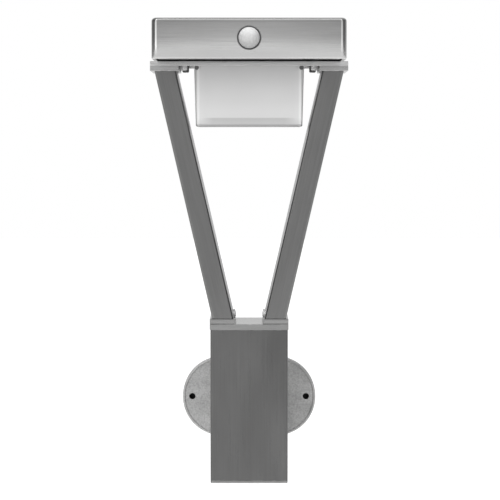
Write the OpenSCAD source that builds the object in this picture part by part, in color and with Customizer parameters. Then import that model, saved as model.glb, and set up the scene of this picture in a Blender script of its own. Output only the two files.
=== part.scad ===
// Solar fence and wall light: a square sensor head on a V of two tube arms, which a square
// post carries clear of the wall on an obround wall plate.
// X runs along the wall, -Y faces the viewer and +Z is up. The origin is the middle of the
// gasket's back, where it meets the wall. Sizes are in millimetres.

/* [Head] */
// Radius of the head's upright corners
head_corner_r = 4; // [4:0.5:6]
// Radius of the head's top and bottom edges
head_edge_r = 2; // [1:0.25:2]
// Thickness of the steel shell
shell_t = 1; // [0.8:0.1:1.2]
// Width of the steel rim round the solar panel
rim_w = 12; // [9:0.5:14]
// Thickness of the black base tray
tray_t = 2.5; // [2:0.1:2.8]

/* [Solar panel] */
// Thickness of the cover glass
glass_t = 3.2; // [2:0.2:3.4]
// Number of cell strips under the glass
cell_strips = 6; // [3:1:10]

/* [Motion sensor] */
// Diameter of the dome lens
lens_d = 16; // [14:0.5:17]
// How far the dome stands out of the head
lens_rise = 6; // [4:0.5:7]

/* [Mode button] */
// Diameter of the rubber button
button_d = 10; // [8:0.5:11]
// How far the button travels
button_travel = 1.5; // [0.5:0.1:2]

/* [Battery] */
// Diameter of the rechargeable cell
battery_d = 18.4; // [14:0.1:18.6]
// Length of the rechargeable cell
battery_l = 65.2; // [49:0.1:66]

/* [Light box] */
// Clear distance between the opal box and the flange at each side of it
box_side_gap = 11.9; // [10.5:0.1:20]
// Clear distance between the opal box and the cross plate's lips
box_end_gap = 3.5; // [2.5:0.5:6]
// How far the opal box hangs below the cross plate's lips
box_drop = 47.8; // [30:0.2:80]
// Wall of the opal box
box_wall = 3; // [2:0.25:3.5]
// How much the opal box draws in on each side towards its bottom
box_draft = 1.35; // [0:0.05:3]

/* [V frame] */
// How far the cross plate stands out past each side of the head
plate_overhang = 3.1; // [2:0.1:8]
// Height of the cross plate's folded lips
channel_h = 3.7; // [3.2:0.1:6]
// Upright distance between the flanges at the arms' two ends
arm_rise = 196.2; // [100:0.2:300]
// Thickness of an arm across the V
arm_w = 16.5; // [14:0.5:16.5]
// How far an arm's front and back stand behind the edges of its flanges
arm_set_back = 1; // [0.5:0.5:3]
// Wall of the arm tubes
arm_t = 1.5; // [1:0.1:2]
// Thickness of the flanges at the arms' ends
flange_t = 4; // [3:0.5:6]
// Width of a flange at an arm's foot
foot_flange_w = 19.8; // [19.6:0.2:22]
// Width of a flange at an arm's top
top_flange_w = 22.7; // [21:0.1:23]

/* [Post] */
// Width and depth of the square post
post_w = 61.5; // [57:0.5:75]
// Height of the post without its cap
post_h = 122.6; // [100:0.1:200]
// Wall of the post
post_t = 1.5; // [1.2:0.1:2]
// Thickness of the post's cap
cap_t = 4.5; // [3:0.5:6]
// Thickness of the plate that closes the post's foot
foot_t = 2; // [1.5:0.5:4]

/* [Wall bracket] */
// Width of the wall plate
wall_w = 112.2; // [90:0.2:140]
// Height of the wall plate
wall_h = 67; // [56:1:90]
// Depth of the wall plate without its gasket
wall_depth = 8; // [7:0.5:14]
// Thickness of the wall plate's sheet
wall_t = 1.5; // [1:0.1:2]
// Distance from a wall screw hole's middle to its end of the plate
wall_hole_in = 8.1; // [7:0.1:12]
// Diameter of a wall screw hole
wall_hole_d = 5.2; // [4:0.1:6]
// Height of the wall plate's middle above the post's foot
wall_up = 56.5; // [45:0.5:75]
// Clear distance between the head's back and the wall
head_gap = 7; // [2:1:30]
// Thickness of the rubber gasket against the wall
gasket_t = 2; // [1:0.5:3]

/* [Hidden] */

$fn = 64;
// Fineness of the rounded corners that a hull joins
hull_fn = 32;
// How far a cutter passes the face that it cuts
overrun = 1;
// Clearance round a piece that slips into another
slip_gap = 0.2;
// Clearance round a screw in its tapped hole
thread_gap = 0.05;
// Clearance round a screw in a plain hole
hole_gap = 0.3;
// Clearance round the pressed button
button_gap = 0.4;
// How far a screw stops short of its blind hole's end
end_air = 1;
// Inner corner radius of a band that is wider than its outer corner's radius, as a share
sharp_corner_share = 0.1;

// Colours
steel = "silver";
dark_steel = "dimgray";
black_plastic = [0.1, 0.1, 0.11];
rubber = [0.06, 0.06, 0.06];
opal = [0.93, 0.94, 0.94];
board_green = [0.07, 0.32, 0.16];

// Fastener sizes: shank, head or nut across its flats, and their heights
m2_d = 2;
m2_head_d = 3.6;
m2_head_h = 1.2;
m25_d = 2.5;
m25_head_d = 4.5;
m25_head_h = 2;
m3_d = 3;
m3_head_d = 5.5;
m3_head_h = 2;
m3_csk_h = 1.5;
m3_nut_af = 5.5;
m3_nut_h = 3;
m3_dome_h = 2;
m3_washer_d = 6.6;
m3_washer_t = 0.8;
m4_d = 4;
m4_head_d = 7;
m4_head_h = 2.4;
m6_d = 6;
m6_af = 10;
m6_head_h = 4;
m6_nut_h = 5;
m6_washer_d = 12;
m6_washer_t = 1.6;
// A cross recess as shares of its screw head's width and height
recess_length_share = 0.62;
recess_width_share = 0.16;
recess_depth_share = 0.55;

// The V is nearly as deep as the post
flange_set_back = 0.75;
plate_d = post_w - 2 * flange_set_back;
arm_d = plate_d - 2 * arm_set_back;

// Battery bay. A cell lies across the back of the head, over a door in the tray.
contact_room = 4.9;
cell_side_gap = 0.8;
cell_lift = 0.5;
cell_top_gap = 0.3;
bay_t = 2;
bay_top_t = 1.5;
bay_flange_t = 2;
bay_flange_w = 4;
bay_front_gap = 3;
bay_back_gap = 6;
bay_l = battery_l + 2 * contact_room;
bay_w = battery_d + 2 * cell_side_gap;
bay_h = cell_lift + battery_d + cell_top_gap;
door_end = 10.5;
door_l = bay_l + 2 * door_end;
door_side = 4;
door_w = bay_w + 2 * door_side;

// The head is square. Its depth leaves room for the bay behind the cross plate, and its height
// for the bay under the solar panel.
lip_w = 2;
tray_edge_gap = 1;
panel_seal_t = 0.5;
cell_t = 0.4;
backing_t = 1.2;
panel_air = 1;
head_rim = shell_t + lip_w + tray_edge_gap;
head_w = plate_d + 2 * (bay_flange_w + bay_front_gap + door_w + bay_back_gap + head_rim);
head_h = 2 * shell_t + tray_t + bay_h + bay_top_t + panel_air + backing_t + cell_t + glass_t
    + panel_seal_t;
plate_w = head_w + 2 * plate_overhang;

// Upright places, from the post's foot to the head's top
post_foot_z = -wall_up;
post_top_z = post_foot_z + post_h;
cap_top_z = post_top_z + cap_t;
arm_foot_z = cap_top_z + flange_t;
arm_top_z = arm_foot_z + arm_rise;
channel_z = arm_top_z + flange_t;
head_z = channel_z + channel_h;
head_top_z = head_z + head_h;
floor_z = head_z + shell_t;
floor_top_z = floor_z + tray_t;

// The light's upright axis, which the post, the V and the head share
axis_y = -(head_gap + head_w / 2);

// Wall bracket
wall_rim_r = 3;
gasket_inset = 1;
wall_hole_pitch = wall_w - 2 * wall_hole_in;
wall_front = gasket_t + wall_depth;
standoff_side = 10.5;
standoff_end = 8.5;
standoff_w = post_w - 2 * standoff_side;
standoff_h = wall_h - 2 * standoff_end;
standoff_t = 2;
standoff_r = 3;
standoff_l = -axis_y - post_w / 2 - wall_front;
bolt_in = 11;
bolt_pitch = standoff_h - 2 * bolt_in;
bolt_tail = 2;
bolt_l = wall_t + standoff_l + post_t + m6_washer_t + m6_nut_h + bolt_tail;

// Post
post_r = 3;
collar_t = 3;
collar_h = 12;
collar_w = post_w - 2 * post_t - 2 * slip_gap;
cap_overhang = 0.5;
cap_w = post_w + 2 * cap_overhang;
cap_screw_x = 15;
cap_screw_z = post_top_z - collar_h / 2;
drain_d = 6;

// V frame
channel_t = 1.5;
channel_bend_r = 1.2;
web_z = head_z - channel_t;
channel_inner_d = plate_d - 2 * channel_t;
flange_d = plate_d;
flange_r = 1;
foot_flange_x = (post_w - foot_flange_w) / 2;
top_flange_x = (plate_w - top_flange_w) / 2;
arm_top_inset = 0.5;
arm_foot_x = foot_flange_x;
arm_top_x = top_flange_x - arm_top_inset;
arm_tilt = atan((arm_top_x - arm_foot_x) / arm_rise);
arm_r = 2;
spigot_w = arm_w - 2 * arm_t - 2 * slip_gap;
spigot_set_back = 9;
spigot_d = arm_d - 2 * spigot_set_back;
spigot_h = 16;
foot_bolt_depth = 12;
arm_screw_in = 21;
arm_screw_y = arm_d / 2 - arm_screw_in;
foot_bolt_gap = 7;
foot_bolt_y = arm_screw_y + foot_bolt_gap;
arm_screw_l = 8;
arm_screw_air = 0.2;
arm_screw_up = arm_screw_air + m25_head_d / 2 - arm_w / 2 * tan(arm_tilt);
top_bolt_y = 15;
top_bolt_l = 4.5;
top_bolt_csk_h = 1.5;
top_bolt_head_d = 7;

// Light box
box_w = plate_w - 2 * top_flange_w - 2 * box_side_gap;
box_d = channel_inner_d - 2 * box_end_gap;
box_r = 1.5;
box_seal_t = 1;
box_top_z = web_z - box_seal_t;
box_bottom_z = channel_z - box_drop;
box_mouth_w = box_w - 2 * box_wall;
box_mouth_d = box_d - 2 * box_wall;
hull_slice = 0.2;
box_boss_w = 3;
box_boss_d = 9;
box_boss_h = 10;
clip_w = 4.4;
clip_t = 1;
clip_drop = 5;
box_screw_in = 2.1;
box_screw_x = box_w / 2 - box_screw_in;
box_screw_down = 3.5;
box_screw_z = web_z - box_screw_down;
box_screw_l = 7;
clip_out = channel_inner_d / 2 - box_d / 2 - slip_gap;

// Head
shell_inner_w = head_w - 2 * shell_t;
shell_inner_r = head_corner_r - shell_t;
shell_mouth_w = shell_inner_w - 2 * lip_w;
shell_mouth_r = 2;
tray_w = shell_mouth_w - 2 * tray_edge_gap;
tray_r = 2;
bracket_w = 14;
bracket_h = 12;
bracket_t = 1.5;
tray_screw_x = shell_inner_w / 2 - bracket_w / 2;
tray_screw_sink = 1.2;
tray_screw_l = 5;
head_bolt_inset = 3.8;
head_bolt_x = plate_w / 2 - top_flange_w - head_bolt_inset;
head_bolt_in = 6;
head_bolt_y = plate_d / 2 - head_bolt_in;
head_pad_d = 8;
head_bolt_in_nut = 2.4;
head_bolt_l = floor_top_z - web_z + m3_washer_t + head_bolt_in_nut;

// Solar panel
window_w = head_w - 2 * rim_w;
window_r = 3;
panel_lap = 3;
panel_w = window_w + 2 * panel_lap;
cell_gap = 1.2;
cell_margin = 5;
cell_area_w = panel_w - 2 * cell_margin;
cell_pitch = (cell_area_w + cell_gap) / cell_strips;
glass_z = head_top_z - shell_t - panel_seal_t - glass_t;
cells_z = glass_z - cell_t;
backing_z = cells_z - backing_t;
pillar_d = 6;
pillar_inset = 3.5;
pillar_x = panel_w / 2 - pillar_inset;
pillar_in = 10;
pillar_y = plate_d / 2 - pillar_in;

// Motion sensor
lens_t = 1;
lens_seal_w = 0.9;
lens_seal_out = 0.3;
lens_lap = 1.6;
lens_flange_t = 1.2;
lens_sphere_r = (pow(lens_d / 2, 2) + pow(lens_rise, 2)) / (2 * lens_rise);
lens_flange_r = lens_d / 2 + lens_seal_w + lens_lap;
holder_lap = 0.75;
holder_t = 1.75;
holder_l = 6.3;
holder_r = lens_flange_r - holder_lap + holder_t;
holder_foot_w = 14;
pir_board_w = 26;
pir_board_h = 17;
pir_board_t = 1.6;
pir_can_r = 4.6;
pir_can_h = 4.4;
pir_base_r = 5.2;
pir_base_t = 0.8;
lens_above_middle = 0.15;
lens_z = head_z + head_h / 2 + lens_above_middle;
holder_back = shell_t + lens_flange_t + holder_l;

// Mode button and the switch that it presses
button_sink = 0.3;
button_edge_r = 0.8;
button_flange_t = 0.7;
button_lap = 1;
button_z = head_z + button_sink;
button_top_z = floor_top_z + button_gap + button_flange_t;
button_h = button_top_z - button_z;
switch_w = 8;
switch_h = 4.5;
switch_air = 0.5;
switch_z = button_top_z + button_travel + switch_air;
plunger_r = 1.7;
plunger_seat = 2;
plunger_in = 1.8;
plunger_end_air = 0.4;

// Main board
board_w = 42;
board_d = 30;
board_t = 1.6;
board_side_gap = 2;
board_front_gap = 6;
board_x = pir_board_w / 2 + board_side_gap + board_w / 2;
board_y = board_front_gap + board_d / 2 - tray_w / 2;
board_z = switch_z + switch_h;
board_hole_inset = 3.5;
board_pillar_d = 5;
board_screw_l = 6;
button_from_board = 10;
button_x = board_x + button_from_board;
button_y = board_y;
// Places on the board are shares of its half width and half depth
chip_w = 8;
chip_t = 1.4;
chip_shares = [-0.15, 0.1];
coil_d = 7;
coil_h = 4.5;
coil_shares = [0.4, 0.15];
capacitor_d = 5;
capacitor_h = 7.5;
capacitor_x_shares = [-0.5, 0.1];
capacitor_y_share = -0.55;
socket_w = 6;
socket_d = 5;
socket_h = 5;

// Battery door, its seal and the contacts
door_seal_t = 0.8;
door_seal_w = 3;
door_t = tray_t - door_seal_t;
door_r = 3;
door_screw_in = 3.5;
door_screw_x = door_l / 2 - door_screw_in;
door_screw_l = 7;
door_boss_d = 6;
door_boss_h = 6;
door_rib_x_share = 0.3;
door_rib_x = battery_l * door_rib_x_share;
door_rib_w = 2;
battery_y = plate_d / 2 + bay_flange_w + bay_front_gap + door_w / 2;
battery_z = floor_top_z + cell_lift + battery_d / 2;
contact_w = 14;
contact_t = 0.5;
nub_d = 6;
nub_l = 1.5;
spring_r = 6;
spring_tip_r = 4;

// Lamp board
led_open_inset = 1.5;
led_open_w = box_mouth_w - 2 * led_open_inset;
led_open_d = box_mouth_d - 2 * led_open_inset;
led_lap = 4;
led_board_w = led_open_w + 2 * led_lap;
led_board_d = led_open_d + 2 * led_lap;
led_board_t = 1.6;
led_cols = 6;
led_rows = 3;
led_w = 3.5;
led_t = 0.8;
led_area_share = 0.8;
led_screw_in = 2.2;
led_screw_l = 3.4;
led_tap = 2;

// Inner leads, which cross the head in pairs just under the panel
wire_r = 0.8;
wire_turn_share = 1.15;
wire_pitch = 2;
wire_drop = 4;
wire_z = backing_z - wire_drop;
socket_y_share = 0.72;
socket_x_share = 0.45;
sensor_socket_x_share = -0.78;
sensor_wire_x_share = 0.3;
panel_wire_y_share = 0.45;
led_wire_y_share = 0.3;

// Plain helpers

module rounded_rect(w, d, r) {
    square([w - 2 * r, d], center = true);
    square([w, d - 2 * r], center = true);
    for (sx = [-1, 1], sy = [-1, 1])
        translate([sx * (w / 2 - r), sy * (d / 2 - r)]) circle(r);
}

module rounded_plate(w, d, t, r) {
    linear_extrude(t) rounded_rect(w, d, r);
}

// A closed band, open above and below, whose corners keep an even wall where they can
module rounded_ring(w, d, band, h, r) {
    inner_r = max(r - band, r * sharp_corner_share);
    linear_extrude(h) difference() {
        rounded_rect(w, d, r);
        rounded_rect(w - 2 * band, d - 2 * band, inner_r);
    }
}

module obround(w, h) {
    square([w - h, h], center = true);
    for (s = [-1, 1]) translate([s * (w - h) / 2, 0]) circle(h / 2);
}

// Side view of a drawn edge: a wall of radius r and height h with its outer edge rounded
module drawn_profile(r, h, edge_r) {
    square([r, h - edge_r]);
    square([r - edge_r, h]);
    translate([r - edge_r, h - edge_r]) circle(edge_r);
}

// An obround block whose front edge is rounded all round
module drawn_block(w, h, depth, edge_r) {
    for (s = [-1, 1])
        translate([s * (w - h) / 2, 0, 0]) rotate([0, 0, -90 * s])
            rotate_extrude(angle = 180) drawn_profile(h / 2, depth, edge_r);
    rotate([90, 0, 90]) linear_extrude(w - h, center = true) {
        drawn_profile(h / 2, depth, edge_r);
        mirror([1, 0]) drawn_profile(h / 2, depth, edge_r);
    }
}

// Places its children on the light's upright axis
module on_axis(z = 0) {
    translate([0, axis_y, z]) children();
}

// Turns local Z away from the wall, at a distance from it
module off_wall(distance) {
    translate([0, -distance, 0]) rotate([90, 0, 0]) children();
}

module left_and_right() {
    children();
    mirror([1, 0, 0]) children();
}

module front_and_back() {
    children();
    mirror([0, 1, 0]) children();
}

module four_ways() {
    left_and_right() front_and_back() children();
}

// Fasteners: the shank runs along +Z from the head's bearing face at zero

// A cross cut to each side of zero, sized on the head's width and height
module cross_recess(head_d, head_h) {
    for (turn = [0, 90])
        rotate([0, 0, turn])
            cube([
                head_d * recess_length_share,
                head_d * recess_width_share,
                2 * head_h * recess_depth_share
            ], center = true);
}

module pan_screw(d, length, head_d, head_h) {
    cylinder(d = d, h = length);
    translate([0, 0, -head_h]) difference() {
        cylinder(d = head_d, h = head_h);
        cross_recess(head_d, head_h);
    }
}

// The flat head's top is at zero
module countersunk_screw(d, length, head_d, head_h) {
    difference() {
        union() {
            cylinder(d1 = head_d, d2 = d, h = head_h);
            cylinder(d = d, h = length);
        }
        cross_recess(head_d, head_h);
    }
}

module countersunk_hole(d, depth, head_d, head_h) {
    cylinder(d1 = head_d + 2 * thread_gap, d2 = d + 2 * hole_gap, h = head_h);
    translate([0, 0, -overrun]) cylinder(d = head_d + 2 * thread_gap, h = overrun);
    cylinder(d = d + 2 * hole_gap, h = depth);
}

module hex_bolt(d, length, af, head_h) {
    cylinder(d = d, h = length);
    translate([0, 0, -head_h]) cylinder(d = af / cos(30), h = head_h, $fn = 6);
}

module hex_nut(d, af, h) {
    difference() {
        cylinder(d = af / cos(30), h = h, $fn = 6);
        translate([0, 0, -overrun]) cylinder(d = d + 2 * thread_gap, h = h + 2 * overrun);
    }
}

module washer(d, outer_d, t) {
    difference() {
        cylinder(d = outer_d, h = t);
        translate([0, 0, -overrun]) cylinder(d = d + hole_gap, h = t + 2 * overrun);
    }
}

// A hexagon closed by a dome, tapped from zero
module cap_nut(d, af, hex_h, dome_h, tapped) {
    difference() {
        union() {
            cylinder(d = af / cos(30), h = hex_h, $fn = 6);
            translate([0, 0, hex_h]) intersection() {
                translate([0, 0, dome_h - af / 2]) sphere(d = af);
                cylinder(d = af, h = dome_h);
            }
        }
        translate([0, 0, -overrun]) cylinder(d = d + 2 * thread_gap, h = overrun + tapped);
    }
}

// Wall bracket

module wall_hole_cuts(d, h) {
    left_and_right()
        translate([wall_hole_pitch / 2, 0, -overrun]) cylinder(d = d, h = h + 2 * overrun);
}

module bolt_cuts(h) {
    for (s = [-1, 1])
        translate([0, s * bolt_pitch / 2, -overrun])
            cylinder(d = m6_d + 2 * hole_gap, h = h + 2 * overrun);
}

module wall_gasket() color(rubber)
    off_wall(0) difference() {
        linear_extrude(gasket_t)
            obround(wall_w - 2 * gasket_inset, wall_h - 2 * gasket_inset);
        wall_hole_cuts(wall_hole_d, gasket_t);
    }

module wall_plate() color(steel)
    off_wall(gasket_t) difference() {
        drawn_block(wall_w, wall_h, wall_depth, wall_rim_r);
        translate([0, 0, -overrun])
            drawn_block(
                wall_w - 2 * wall_t,
                wall_h - 2 * wall_t,
                wall_depth - wall_t + overrun,
                wall_rim_r - wall_t
            );
        wall_hole_cuts(wall_hole_d, wall_depth);
        bolt_cuts(wall_depth);
    }

module standoff_tube() color(steel)
    off_wall(wall_front)
        rounded_ring(standoff_w, standoff_h, standoff_t, standoff_l, standoff_r);

module at_bolts(distance) {
    off_wall(distance) for (s = [-1, 1]) translate([0, s * bolt_pitch / 2, 0]) children();
}

module standoff_bolts() color(dark_steel)
    at_bolts(wall_front - wall_t) hex_bolt(m6_d, bolt_l, m6_af, m6_head_h);

module standoff_washers() color(steel)
    at_bolts(wall_front + standoff_l + post_t) washer(m6_d, m6_washer_d, m6_washer_t);

module standoff_nuts() color(dark_steel)
    at_bolts(wall_front + standoff_l + post_t + m6_washer_t) hex_nut(m6_d, m6_af, m6_nut_h);

// Post

module at_cap_screws() {
    left_and_right()
        translate([cap_screw_x, axis_y + post_w / 2, cap_screw_z]) rotate([90, 0, 0])
            children();
}

module post_body() color(steel) difference() {
    on_axis(post_foot_z + foot_t)
        rounded_ring(post_w, post_w, post_t, post_h - foot_t, post_r);
    off_wall(wall_front + standoff_l) bolt_cuts(post_t);
    at_cap_screws() translate([0, 0, -overrun])
        cylinder(d = m3_d + 2 * hole_gap, h = post_t + 2 * overrun);
}

module post_collar() {
    rounded_ring(collar_w, collar_w, collar_t, collar_h, post_r - post_t);
}

module post_foot_plate() color(steel) on_axis(post_foot_z) {
    difference() {
        rounded_plate(post_w, post_w, foot_t, post_r);
        translate([0, 0, -overrun]) cylinder(d = drain_d, h = foot_t + 2 * overrun);
    }
    translate([0, 0, foot_t]) post_collar();
}

// The four screws that come up through the cap into the arms' feet
module at_foot_bolts(z) {
    on_axis(z) four_ways() translate([foot_flange_x, foot_bolt_y, 0]) children();
}

module post_cap() color(steel) difference() {
    on_axis(post_top_z) {
        rounded_plate(cap_w, cap_w, cap_t, post_r + cap_overhang);
        translate([0, 0, -collar_h]) post_collar();
    }
    at_foot_bolts(post_top_z) translate([0, 0, -overrun])
        cylinder(d = m4_d + 2 * hole_gap, h = cap_t + 2 * overrun);
    at_cap_screws() cylinder(d = m3_d + 2 * thread_gap, h = post_t + collar_t + 2 * overrun);
}

module cap_screws() color(dark_steel)
    at_cap_screws() pan_screw(m3_d, post_t + collar_t, m3_head_d, m3_head_h);

// V frame

// The right arm's own frame: local Z climbs the arm and local X crosses it, outwards
module along_arm() {
    translate([arm_foot_x, axis_y, arm_foot_z]) rotate([0, arm_tilt, 0]) children();
}

// The slab of a given height above the arms' feet, wide enough for the whole V
module level_slab(z, h) {
    on_axis(z) translate([-plate_w / 2, -plate_d / 2, 0]) cube([plate_w, plate_d, h]);
}

module at_arm_screws() {
    along_arm() front_and_back()
        translate([-arm_w / 2, arm_screw_y, arm_screw_up]) rotate([0, 90, 0]) children();
}

module foot_flange_right() color(steel) difference() {
    union() {
        on_axis(cap_top_z) translate([foot_flange_x, 0, 0])
            rounded_plate(foot_flange_w, flange_d, flange_t, flange_r);
        intersection() {
            along_arm() translate([-spigot_w / 2, -spigot_d / 2, -flange_t])
                cube([spigot_w, spigot_d, spigot_h + 2 * flange_t]);
            level_slab(arm_foot_z - flange_t / 2, spigot_h + flange_t / 2);
        }
    }
    at_foot_bolts(cap_top_z) translate([0, 0, -overrun])
        cylinder(d = m4_d + 2 * thread_gap, h = foot_bolt_depth + overrun);
    at_arm_screws() translate([0, 0, -overrun])
        cylinder(d = m25_d + 2 * thread_gap, h = arm_screw_l + 2 * overrun);
}

module foot_flange_left() mirror([1, 0, 0]) foot_flange_right();

module foot_flange_screws() color(dark_steel)
    at_foot_bolts(post_top_z)
        pan_screw(m4_d, cap_t + foot_bolt_depth - end_air, m4_head_d, m4_head_h);

module arm_right() color(steel) difference() {
    intersection() {
        along_arm() translate([0, 0, -arm_w])
            rounded_ring(arm_w, arm_d, arm_t, arm_rise / cos(arm_tilt) + 2 * arm_w, arm_r);
        level_slab(arm_foot_z, arm_rise);
    }
    at_arm_screws() translate([0, 0, -overrun])
        cylinder(d = m25_d + 2 * hole_gap, h = arm_t + 2 * overrun);
}

module arm_left() mirror([1, 0, 0]) arm_right();

module arm_screws() color(dark_steel)
    left_and_right() at_arm_screws() pan_screw(m25_d, arm_screw_l, m25_head_d, m25_head_h);

module at_top_bolts(z) {
    on_axis(z) four_ways() translate([top_flange_x, top_bolt_y, 0]) children();
}

module top_flange_right() color(steel) difference() {
    on_axis(arm_top_z) translate([top_flange_x, 0, 0]) {
        rounded_plate(top_flange_w, flange_d, flange_t, flange_r);
        rounded_plate(
            top_flange_w,
            channel_inner_d - 2 * slip_gap,
            web_z - arm_top_z,
            flange_r
        );
    }
    at_top_bolts(head_z) mirror([0, 0, 1])
        cylinder(d = m4_d + 2 * thread_gap, h = channel_t + top_bolt_l + end_air);
}

module top_flange_left() mirror([1, 0, 0]) top_flange_right();

module top_flange_screws() color(dark_steel)
    at_top_bolts(head_z) mirror([0, 0, 1])
        countersunk_screw(m4_d, channel_t + top_bolt_l, top_bolt_head_d, top_bolt_csk_h);

// Cross section of the folded cross plate: a web with a lip along each long edge
module channel_profile() {
    difference() {
        union() {
            translate([-plate_d / 2, 0]) square([plate_d, channel_h - channel_bend_r]);
            translate([-plate_d / 2 + channel_bend_r, 0])
                square([plate_d - 2 * channel_bend_r, channel_h]);
            for (s = [-1, 1])
                translate([s * (plate_d / 2 - channel_bend_r), channel_h - channel_bend_r])
                    circle(channel_bend_r);
        }
        translate([-channel_inner_d / 2, -overrun])
            square([channel_inner_d, channel_h - channel_t + overrun]);
    }
}

module at_head_bolts(z) {
    on_axis(z) four_ways() translate([head_bolt_x, head_bolt_y, 0]) children();
}

module cross_plate() color(steel) difference() {
    on_axis(channel_z) rotate([90, 0, 90])
        linear_extrude(plate_w, center = true) channel_profile();
    on_axis(web_z - overrun)
        rounded_plate(box_mouth_w, box_mouth_d, channel_t + 2 * overrun, box_r);
    at_top_bolts(head_z) mirror([0, 0, 1])
        countersunk_hole(m4_d, channel_t + overrun, top_bolt_head_d, top_bolt_csk_h);
    at_head_bolts(web_z - overrun)
        cylinder(d = m3_d + 2 * hole_gap, h = channel_t + 2 * overrun);
}

// Light box

// The opal box's outline, drawn in by a wall
module box_body(inset, floor_t, top_z) {
    hull() {
        on_axis(top_z - hull_slice)
            rounded_plate(box_w - 2 * inset, box_d - 2 * inset, hull_slice, box_r, $fn = hull_fn);
        on_axis(box_bottom_z + floor_t + box_r) four_ways()
            translate([
                box_w / 2 - box_draft - inset - box_r,
                box_d / 2 - box_draft - inset - box_r,
                0
            ]) sphere(box_r, $fn = hull_fn);
    }
}

module at_box_screws() {
    on_axis(box_screw_z) four_ways()
        translate([box_screw_x, -box_d / 2 - clip_t, 0]) rotate([-90, 0, 0]) children();
}

module diffuser() color(opal) difference() {
    union() {
        difference() {
            box_body(0, 0, box_top_z);
            box_body(box_wall, box_wall, box_top_z + overrun);
        }
        on_axis(box_top_z - box_boss_h) four_ways()
            translate([
                box_mouth_w / 2 - box_boss_w,
                box_d / 2 - box_wall / 2 - box_boss_d,
                0
            ]) cube([box_boss_w + box_wall / 2, box_boss_d, box_boss_h]);
    }
    at_box_screws() cylinder(d = m2_d + 2 * thread_gap, h = clip_t + box_screw_l + overrun);
}

module diffuser_seal() color(rubber)
    on_axis(box_top_z) rounded_ring(box_w, box_d, box_wall, box_seal_t, box_r);

module diffuser_clips() color(opal) difference() {
    on_axis(web_z) four_ways() translate([box_screw_x - clip_w / 2, box_d / 2, 0]) {
        translate([0, 0, -clip_drop]) cube([clip_w, clip_t, clip_drop]);
        translate([0, 0, -clip_t]) cube([clip_w, clip_out, clip_t]);
    }
    at_box_screws() translate([0, 0, -overrun])
        cylinder(d = m2_d + 2 * hole_gap, h = clip_t + 2 * overrun);
}

module diffuser_screws() color(dark_steel)
    at_box_screws() pan_screw(m2_d, clip_t + box_screw_l, m2_head_d, m2_head_h);

// Head

module window_seal() color(rubber)
    on_axis(head_z) rounded_ring(box_w, box_d, box_wall, floor_z - head_z, box_r);

// The head's outer form: eight corners, each a small ring, joined by a hull
module head_form() {
    ring_r = head_corner_r - head_edge_r;
    corner_x = head_w / 2 - head_corner_r;
    hull() on_axis(head_z) four_ways()
        for (z = [head_edge_r, head_h - head_edge_r])
            translate([corner_x, corner_x, z])
                rotate_extrude($fn = hull_fn) translate([ring_r, 0])
                    circle(head_edge_r, $fn = hull_fn);
}

// Turns local Z out of the head's front face at the lens
module at_lens() {
    on_axis(lens_z) translate([0, -head_w / 2, 0]) rotate([90, 0, 0]) children();
}

module head_shell() color(steel) difference() {
    head_form();
    on_axis(floor_z)
        rounded_plate(shell_inner_w, shell_inner_w, head_h - 2 * shell_t, shell_inner_r);
    on_axis(head_z - overrun)
        rounded_plate(shell_mouth_w, shell_mouth_w, shell_t + 2 * overrun, shell_mouth_r);
    on_axis(head_top_z - shell_t - overrun)
        rounded_plate(window_w, window_w, shell_t + 2 * overrun, window_r);
    at_lens() translate([0, 0, -shell_t - overrun])
        cylinder(r = lens_d / 2 + lens_seal_w, h = shell_t + 2 * overrun);
}

module at_tray_screws(z) {
    on_axis(z) four_ways() translate([tray_screw_x, tray_screw_x, 0]) children();
}

module shell_brackets() color(steel) difference() {
    intersection() {
        on_axis(floor_top_z) four_ways() {
            translate([shell_inner_w / 2 - bracket_w, shell_inner_w / 2 - bracket_w, 0])
                cube([bracket_w, bracket_w, bracket_t]);
            translate([shell_inner_w / 2 - bracket_t, shell_inner_w / 2 - bracket_w, 0])
                cube([bracket_t, bracket_w - shell_inner_r, bracket_h]);
        }
        on_axis(floor_z) rounded_plate(shell_inner_w, shell_inner_w, head_h, shell_inner_r);
    }
    at_tray_screws(floor_top_z - overrun)
        cylinder(d = m3_d + 2 * thread_gap, h = bracket_t + 2 * overrun);
}

module at_board_holes(z) {
    on_axis(z) translate([board_x, board_y, 0]) four_ways()
        translate([board_w / 2 - board_hole_inset, board_d / 2 - board_hole_inset, 0])
            children();
}

module at_button(z) {
    on_axis(z) translate([button_x, button_y, 0]) children();
}

module at_bay(z) {
    on_axis(z) translate([0, battery_y, 0]) children();
}

module base_tray() color(black_plastic) difference() {
    union() {
        on_axis(floor_z) rounded_plate(tray_w, tray_w, tray_t, tray_r);
        at_head_bolts(head_z) cylinder(d = head_pad_d, h = shell_t + tray_t);
        on_axis(floor_z) four_ways() translate([pillar_x, pillar_y, 0])
            cylinder(d = pillar_d, h = backing_z - floor_z);
        at_board_holes(floor_z) cylinder(d = board_pillar_d, h = board_z - floor_z);
    }
    on_axis(floor_z - overrun)
        rounded_plate(led_open_w, led_open_d, tray_t + 2 * overrun, box_r);
    at_bay(floor_z - overrun) rounded_plate(door_l, door_w, tray_t + 2 * overrun, door_r);
    at_button(floor_z - overrun)
        cylinder(d = button_d + 2 * button_gap, h = tray_t + 2 * overrun);
    at_head_bolts(head_z - overrun)
        cylinder(d = m3_d + 2 * hole_gap, h = shell_t + tray_t + 2 * overrun);
    at_tray_screws(floor_z - overrun) {
        cylinder(d = m3_d + 2 * hole_gap, h = tray_t + 2 * overrun);
        cylinder(d = m3_head_d + 2 * hole_gap, h = overrun + tray_screw_sink);
    }
    at_board_holes(board_z - board_screw_l)
        cylinder(d = m2_d + 2 * thread_gap, h = board_screw_l + overrun);
    at_led_screws(floor_top_z - led_tap)
        cylinder(d = m2_d + 2 * thread_gap, h = led_tap + overrun);
}

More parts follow.
